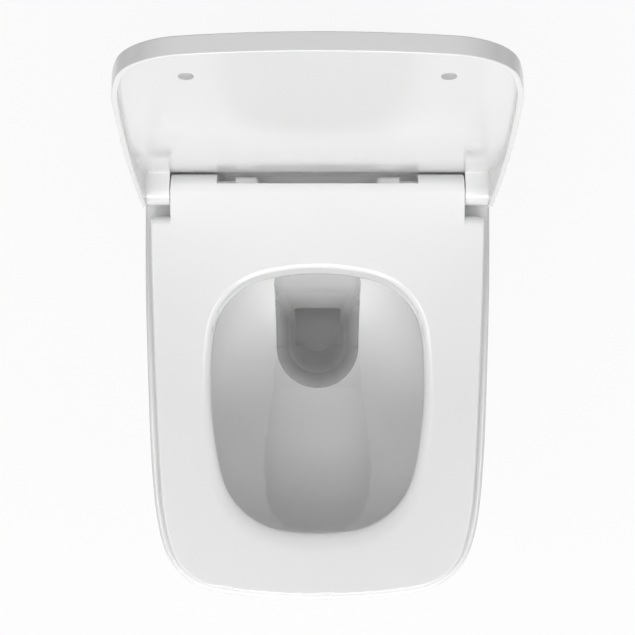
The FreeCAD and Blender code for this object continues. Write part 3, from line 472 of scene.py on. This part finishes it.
def dome_profile(radius: float, low: float, high: float, crown: float, steps: int = 10) -> np.ndarray:
    """Give the profile of a button with a rounded lower end.

    The lower end is a quarter of an ellipse: r is the radius times sin t, and h rises by the crown
    times one less cos t, with t from nothing to a quarter turn. A straight side and a flat top follow.

    Args:
        radius: Radius of the button.
        low: Height of the middle of the rounded end.
        high: Height of the flat end.
        crown: Height of the rounding.
        steps: Number of points on the rounding.

    Returns:
        Rows of radius and height.
    """
    t = np.linspace(0.0, np.pi / 2.0, steps)
    rounding = np.column_stack([radius * np.sin(t), low + crown * (1.0 - np.cos(t))])
    return np.vstack([rounding, [(radius, high), (0.0, high)]])


@dataclass
class Assembly:
    """Pieces that ride on one body: welded copies of frame nodes, and surfaces worked out anew."""

    frame: dict
    body: str
    copies: dict[str, Slot] = field(default_factory=dict)
    crease: float = math.radians(32.0)
    weld: float = 2e-6

    def build(self) -> None:
        """Make the copy of every node that keeps its shape, and then the new surfaces."""
        for name, slot in self.copies.items():
            self.copy_of(name, slot)
        self.build_surfaces()

    def build_surfaces(self) -> None:
        """Make the pieces that have finer shapes than their nodes, where the assembly has any."""

    def copy_of(self, name: str, slot: Slot) -> bpy.types.Object:
        """Copy a node's mesh, weld its faces together and let tangent faces shade as one.

        Args:
            name: Name of the frame node.
            slot: Finish of the piece.

        Returns:
            The piece that stands for the node.
        """
        mesh = self.frame["nodes"][name].data.copy()
        mesh.name = name + "_skin"
        normals = mesh.attributes.get("custom_normal")
        if normals is not None:
            mesh.attributes.remove(normals)
        piece = self.settled(mesh, name, slot)
        shading = piece.modifiers.new("even_normals", "WEIGHTED_NORMAL")
        shading.keep_sharp = True
        return piece

    def surface_of(
        self, name: str, slot: Slot, grids: list[np.ndarray], looped: bool = False, capped: bool = False
    ) -> bpy.types.Object:
        """Make one piece of several grids whose columns close into rings.

        Args:
            name: Name of the frame node that the piece stands for.
            slot: Finish of the piece.
            grids: Points of each closed shape, as rows, columns and coordinates.
            looped: True where the last row of a grid joins its first.
            capped: True where the first and the last row are closed by a face each.

        Returns:
            The piece that stands for the node.
        """
        points: list[list[float]] = []
        faces: list[list[int]] = []
        for grid in grids:
            rows, columns, _ = grid.shape
            first = len(points)
            points += grid.reshape(-1, 3).tolist()
            faces += (ring_faces(rows, columns, looped) + first).tolist()
            if capped:
                end = np.arange(columns) + first
                faces += [end[::-1].tolist(), (end + (rows - 1) * columns).tolist()]
        mesh = bpy.data.meshes.new(name + "_skin")
        mesh.from_pydata(points, [], faces)
        return self.settled(mesh, name, slot, fresh=True)

    def settled(self, mesh: bpy.types.Mesh, name: str, slot: Slot, fresh: bool = False) -> bpy.types.Object:
        """Weld a mesh, shade it smoothly between its creases and put it on the body.

        Args:
            mesh: The piece's mesh.
            name: Name of the frame node that the piece stands for.
            slot: Finish of the piece.
            fresh: True for a new surface, whose faces are turned outwards.

        Returns:
            The piece that stands for the node.
        """
        work = bmesh.new()
        work.from_mesh(mesh)
        bmesh.ops.remove_doubles(work, verts=work.verts, dist=self.weld)
        if fresh:
            bmesh.ops.recalc_face_normals(work, faces=work.faces)
        work.to_mesh(mesh)
        work.free()
        mesh.polygons.foreach_set("use_smooth", np.ones(len(mesh.polygons), dtype=bool))
        mesh.set_sharp_from_angle(angle=self.crease)
        mesh.materials.clear()
        mesh.materials.append(FINISHES[slot].material())
        piece = bpy.data.objects.new(mesh.name, mesh)
        bpy.context.scene.collection.objects.link(piece)
        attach(piece, self.body)
        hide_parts(name)
        LOG.info("%s: %d faces on %s", piece.name, len(mesh.polygons), self.body)
        return piece


@dataclass
class Pan(Assembly):
    """China pan with its wall bushes and the studs that carry the hinges.

    Heights of the studs and nuts are measured from the rim.
    """

    body: str = "pan"
    copies: dict[str, Slot] = field(
        default_factory=lambda: {
            "pan": Slot.CHINA,
            "wall_bushes": Slot.NYLON,
            "stud_pads": Slot.RUBBER,
            "stud_sleeves": Slot.RUBBER,
        }
    )
    rim_z: float = 0.080
    columns: int = 48

    # Stud: a pin above a flange above a threaded shank.
    stud_x: float = 0.080
    stud_y: float = -0.120
    pin_radius: float = 0.0050
    pin_top: float = 0.0180
    pin_chamfer: float = 0.0015
    flange_radius: float = 0.0110
    flange_low: float = 0.0016
    flange_high: float = 0.0036
    shank_radius: float = 0.0040
    shank_low: float = -0.0420
    thread_pitch: float = 0.00125
    thread_depth: float = 0.0007
    rows_per_turn: int = 8

    # Nut: a hexagon with a cone at each end, which starts a little inside its flats.
    nut_corner: float = 0.0090
    nut_low: float = -0.0370
    nut_high: float = -0.0300
    nut_chamfer: float = 0.0012
    chamfer_rows: int = 4
    cone_start: float = 0.25
    cone_widening: float = 2.0

    def build_surfaces(self) -> None:
        """Make the threaded studs and their chamfered nuts."""
        self.surface_of("hinge_studs", Slot.STEEL, self.both(self.stud()))
        self.surface_of("stud_nuts", Slot.STEEL, self.both(self.nut()), looped=True)

    def both(self, grid: np.ndarray) -> list[np.ndarray]:
        """Return a shape drawn round the Z axis at the places of the right and the left stud."""
        return [grid + (sign * self.stud_x, self.stud_y, self.rim_z) for sign in SIDES.values()]

    def stud(self) -> np.ndarray:
        """Return the points of a stud: a threaded shank, a flange and a chamfered pin.

        The thread takes its depth off the shank's radius times one less a triangle wave. The wave
        rises and falls once for each pitch of height less each whole turn of the angle.
        """
        rows = int((self.flange_low - self.shank_low) / self.thread_pitch * self.rows_per_turn)
        heights = np.linspace(self.shank_low, self.flange_low, rows)
        shank = np.column_stack([np.full(rows, self.shank_radius), heights])
        head = [
            (self.flange_radius, self.flange_low),
            (self.flange_radius, self.flange_high),
            (self.pin_radius, self.flange_high),
            (self.pin_radius, self.pin_top - self.pin_chamfer),
            (self.pin_radius - self.pin_chamfer, self.pin_top),
            (0.0, self.pin_top),
        ]
        grid = turned(np.vstack([[(0.0, self.shank_low)], shank, head]), self.columns)
        thread = grid[1:rows]
        turn = np.linspace(0.0, 1.0, self.columns, endpoint=False)
        wave = np.abs(2.0 * ((thread[:, :, 2] / self.thread_pitch - turn) % 1.0) - 1.0)
        thread[:, :, :2] *= (1.0 - self.thread_depth / self.shank_radius * (1.0 - wave))[:, :, None]
        return grid

    def nut(self) -> np.ndarray:
        """Return the points of a nut, a ring whose outside is a hexagon cut by a cone at each end.

        The hexagon's radius is its apothem over the cosine of the angle from the middle of the
        nearest flat. A cone widens from just inside the apothem by a multiple of the height.
        """
        apothem = self.nut_corner * math.cos(math.pi / 6.0)
        hexagon = apothem / np.cos(ring_angles(self.columns) % (np.pi / 3.0) - np.pi / 6.0)
        rise = np.linspace(0.0, self.nut_chamfer, self.chamfer_rows)
        height = np.concatenate([self.nut_low + rise, self.nut_high - rise[::-1]])
        inset = np.minimum(height - self.nut_low, self.nut_high - height)
        cone = apothem - self.cone_start * self.nut_chamfer + self.cone_widening * inset
        outside = np.minimum(hexagon, cone[:, None])
        bore = np.full((1, self.columns), self.shank_radius)
        radius = np.vstack([bore, outside, bore])
        level = np.concatenate([[self.nut_low], height, [self.nut_high]])[:, None]
        return ring_points(radius, level, self.columns)


@dataclass
class Hinges(Assembly):
    """Posts, damper bodies and release springs, which lift off with the seat."""

    body: str = "hinges"
    copies: dict[str, Slot] = field(
        default_factory=lambda: {
            "hinge_post_left": Slot.HINGE_PLASTIC,
            "hinge_post_right": Slot.HINGE_PLASTIC,
            "lid_damper_body": Slot.DAMPER_PLASTIC,
            "seat_damper_body": Slot.DAMPER_PLASTIC,
        }
    )
    spring_crown_x: float = 0.09005
    spring_end_x: float = 0.09395
    spring_strip: float = 0.0005
    spring_y: float = -0.120
    spring_half_length: float = 0.0060
    spring_low: float = 0.0890
    spring_high: float = 0.0920
    spring_rows: int = 25
    travel: float = 0.0030

    def build_surfaces(self) -> None:
        """Make the two bowed springs."""
        for side, sign in SIDES.items():
            grid = self.spring() * (sign, 1.0, 1.0)
            piece = self.surface_of("release_spring_" + side, Slot.STEEL, [grid], capped=True)
            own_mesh(piece)

    def spring(self) -> np.ndarray:
        """Return the points of the right spring, a flat strip carried along a shallow bow.

        Along the bow, s runs from minus one to one: y moves by the half length times s, and x moves
        from the crown to the end by the square of s.
        """
        s = np.linspace(-1.0, 1.0, self.spring_rows)[:, None]
        thick = np.array([0.0, self.spring_strip, self.spring_strip, 0.0])
        level = np.array([self.spring_low, self.spring_low, self.spring_high, self.spring_high])
        bow = self.spring_crown_x + (self.spring_end_x - self.spring_crown_x) * s ** 2
        points = np.broadcast_arrays(bow + thick, self.spring_y + self.spring_half_length * s, level)
        return np.stack(points, axis=-1)


@dataclass
class Seat(Assembly):
    """Seat ring with the buffers under it and the damper shaft keyed into it."""

    body: str = "seat"
    copies: dict[str, Slot] = field(
        default_factory=lambda: {"seat": Slot.DUROPLAST, "seat_damper_shaft": Slot.STEEL}
    )
    buffer_places: tuple[tuple[float, float], ...] = ((0.142, -0.422), (0.150, -0.212))
    buffer_radius: float = 0.0070
    buffer_low: float = 0.0802
    buffer_high: float = 0.0850
    buffer_crown: float = 0.0014
    columns: int = 48

    def build_surfaces(self) -> None:
        """Make the four rounded buffers that meet the rim."""
        profile = dome_profile(self.buffer_radius, self.buffer_low, self.buffer_high, self.buffer_crown)
        button = turned(profile, self.columns)
        places = [(sign * x, y, 0.0) for x, y in self.buffer_places for sign in SIDES.values()]
        self.surface_of("seat_bumpers", Slot.BUFFER, [button + place for place in places])


@dataclass
class Lid(Assembly):
    """Lid with its buffers, its pivot pin and the damper shaft keyed into it.

    The buffers are placed on the closed lid, from its hinge line.
    """

    body: str = "lid"
    copies: dict[str, Slot] = field(
        default_factory=lambda: {
            "lid": Slot.DUROPLAST,
            "lid_pivot_pin": Slot.STEEL,
            "lid_damper_shaft": Slot.STEEL,
        }
    )
    hinge_y: float = -0.092
    hinge_z: float = 0.099
    opening: float = math.radians(96.0)
    buffer_x: float = 0.105
    buffer_reach: float = 0.343
    buffer_radius: float = 0.0062
    buffer_low: float = -0.0083
    buffer_high: float = -0.0042
    buffer_crown: float = 0.0009
    columns: int = 48

    def build_surfaces(self) -> None:
        """Make the two rounded buffers inside the lid."""
        profile = dome_profile(self.buffer_radius, self.buffer_low, self.buffer_high, self.buffer_crown)
        button = turned(profile, self.columns)
        places = [(sign * self.buffer_x, -self.buffer_reach, 0.0) for sign in SIDES.values()]
        self.surface_of("lid_bumpers", Slot.BUFFER, [self.opened(button + place) for place in places])

    def opened(self, grid: np.ndarray) -> np.ndarray:
        """Turn points drawn on the closed lid, from its hinge line, to where they stand with it open."""
        x, y, z = np.moveaxis(grid, -1, 0)
        cos, sin = math.cos(self.opening), math.sin(self.opening)
        points = (x, self.hinge_y + y * cos + z * sin, self.hinge_z - y * sin + z * cos)
        return np.stack(points, axis=-1)


def release(frame: dict, side: str) -> Assembly:
    """Return the sprung release slide of one side."""
    name = "release_" + side
    return Assembly(frame, name, {name: Slot.RELEASE_PLASTIC})


@dataclass
class SoftBox:
    """One soft rectangular lamp that faces the object."""

    name: str
    azimuth: float
    elevation: float
    width: float
    height: float
    level: float
    distance: float = 3.0
    aim: Point = (0.0, -0.25, 0.1)

    def build(self) -> bpy.types.Object:
        """Make the lamp.

        The azimuth turns from the front to the right, in degrees. The level is what the lamp alone
        adds to a white surface that faces it, so the power is the level times pi squared times the
        distance squared.

        Returns:
            The lamp's object.
        """
        azimuth, elevation = math.radians(self.azimuth), math.radians(self.elevation)
        flat = math.cos(elevation)
        way = Vector((math.sin(azimuth) * flat, -math.cos(azimuth) * flat, math.sin(elevation)))
        data = bpy.data.lights.new(self.name, "AREA")
        data.shape = "RECTANGLE"
        data.size = self.width
        data.size_y = self.height
        data.energy = self.level * math.pi ** 2 * self.distance ** 2
        lamp = bpy.data.objects.new(self.name, data)
        lamp.location = Vector(self.aim) + way * self.distance
        lamp.rotation_euler = way.to_track_quat("Z", "Y").to_euler()
        bpy.context.scene.collection.objects.link(lamp)
        return lamp


@dataclass
class Studio:
    """Pale floor, even sky, soft lamps and the camera of the photograph."""

    floor_z: float = -0.32
    floor_half: float = 12.0
    floor_tone: float = 0.86
    floor_glow: float = 0.9
    sky_level: float = 0.05
    camera_place: Point = (0.0, -0.3649, 1.5597)
    camera_tilt: float = math.radians(5.55)
    camera_lens: float = 81.26
    camera_sensor: float = 36.0
    lamps: list[SoftBox] = field(
        default_factory=lambda: [
            SoftBox("front_lamp", azimuth=0.0, elevation=40.0, width=2.0, height=1.0, level=0.72),
            SoftBox("left_lamp", azimuth=-60.0, elevation=60.0, width=1.5, height=1.5, level=0.28),
            SoftBox("right_lamp", azimuth=60.0, elevation=60.0, width=1.5, height=1.5, level=0.23),
            SoftBox("rear_lamp", azimuth=180.0, elevation=15.0, width=2.0, height=1.0, level=0.2),
        ]
    )

    def build(self) -> None:
        """Make the floor, the sky, the lamps and the camera."""
        self.make_floor()
        self.make_sky()
        for lamp in self.lamps:
            lamp.build()
        self.make_camera()
        bpy.context.scene.view_settings.view_transform = "Standard"

    def seen_directly(self, graph: NodeGraph) -> bpy.types.NodeSocket:
        """Return one for rays that show the background itself, in view, in gloss or through glass."""
        path = graph.add("ShaderNodeLightPath")
        first = graph.maths("ADD", path.outputs["Is Camera Ray"], path.outputs["Is Glossy Ray"])
        every = graph.maths("ADD", first, path.outputs["Is Transmission Ray"])
        return graph.maths("MINIMUM", every, 1.0)

    def make_floor(self) -> None:
        """Lay a wide pale floor that looks almost white and still takes a soft shadow."""
        half = self.floor_half
        corners = np.array([(-half, -half), (half, -half), (half, half), (-half, half)])
        points = np.column_stack([corners, np.full(len(corners), self.floor_z)])
        mesh = bpy.data.meshes.new("studio_floor")
        mesh.from_pydata(points.tolist(), [], [(0, 1, 2, 3)])
        material = bpy.data.materials.new("studio_floor")
        material.use_nodes = True
        nodes = material.node_tree.nodes
        nodes.remove(nodes["Principled BSDF"])
        graph = NodeGraph(material.node_tree)
        paint = graph.add("ShaderNodeBsdfDiffuse")
        paint.inputs["Color"].default_value = (*grey(self.floor_tone), 1.0)
        glow = graph.add("ShaderNodeEmission")
        mix = graph.add("ShaderNodeMixShader")
        share = graph.maths("MULTIPLY", self.seen_directly(graph), self.floor_glow)
        graph.join(share, mix.inputs["Fac"])
        graph.join(paint.outputs["BSDF"], mix.inputs[1])
        graph.join(glow.outputs["Emission"], mix.inputs[2])
        graph.join(mix.outputs["Shader"], nodes["Material Output"].inputs["Surface"])
        mesh.materials.append(material)
        floor = bpy.data.objects.new("studio_floor", mesh)
        bpy.context.scene.collection.objects.link(floor)

    def make_sky(self) -> None:
        """Light the object from a faint even sky that shows as white in view."""
        world = bpy.data.worlds.new("studio_sky")
        world.use_nodes = True
        bpy.context.scene.world = world
        graph = NodeGraph(world.node_tree)
        sky = world.node_tree.nodes["Background"]
        sky.inputs["Color"].default_value = (*grey(1.0), 1.0)
        path = graph.add("ShaderNodeLightPath")
        rest = graph.maths("MULTIPLY", path.outputs["Is Camera Ray"], 1.0 - self.sky_level)
        graph.join(graph.maths("ADD", rest, self.sky_level), sky.inputs["Strength"])

    def make_camera(self) -> None:
        """Place the camera where the photograph was taken from."""
        data = bpy.data.cameras.new("photo_camera")
        data.lens = self.camera_lens
        data.sensor_width = self.camera_sensor
        camera = bpy.data.objects.new("photo_camera", data)
        camera.location = self.camera_place
        camera.rotation_euler = (self.camera_tilt, 0.0, 0.0)
        bpy.context.scene.collection.objects.link(camera)
        bpy.context.scene.camera = camera


def main() -> None:
    """Load the frame, dress every assembly and set up the studio."""
    logging.basicConfig(level=logging.INFO)
    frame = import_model()
    assemblies = [
        Pan(frame),
        Hinges(frame),
        Seat(frame),
        Lid(frame),
        release(frame, "left"),
        release(frame, "right"),
    ]
    for assembly in assemblies:
        assembly.build()
    Studio().build()


if __name__ == "__main__":
    main()
